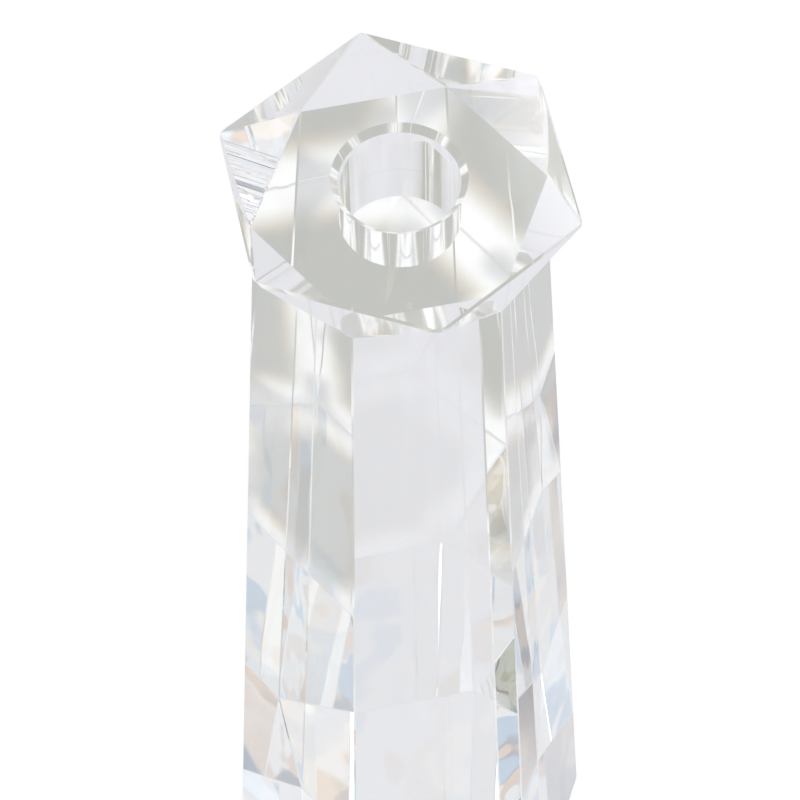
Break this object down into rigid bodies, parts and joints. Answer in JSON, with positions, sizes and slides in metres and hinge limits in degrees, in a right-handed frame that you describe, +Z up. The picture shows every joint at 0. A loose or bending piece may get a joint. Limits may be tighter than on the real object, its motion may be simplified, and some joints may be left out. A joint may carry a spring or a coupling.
{
  "type": "candlestick",
  "caption": "Tall solid clear glass candlestick: a flared six-sided column under a wider faceted head with a round socket for a taper candle.",
  "frame": {"origin": "middle of the flat base, on the table", "axes": "+Z up along the candlestick's axis; two of the column's six corners lie on +X and -X, and its flat sides face -Y and +Y"},
  "size_m": [0.0804, 0.0702, 0.25],
  "materials": {
    "crystal_glass": "clear optical glass, polished flat facets",
    "clear_adhesive": "clear cured adhesive"
  },
  "bodies": {
    "root": {"head": "crystal_glass", "bond_film": "clear_adhesive", "column": "crystal_glass"}
  },
  "joints": []
}
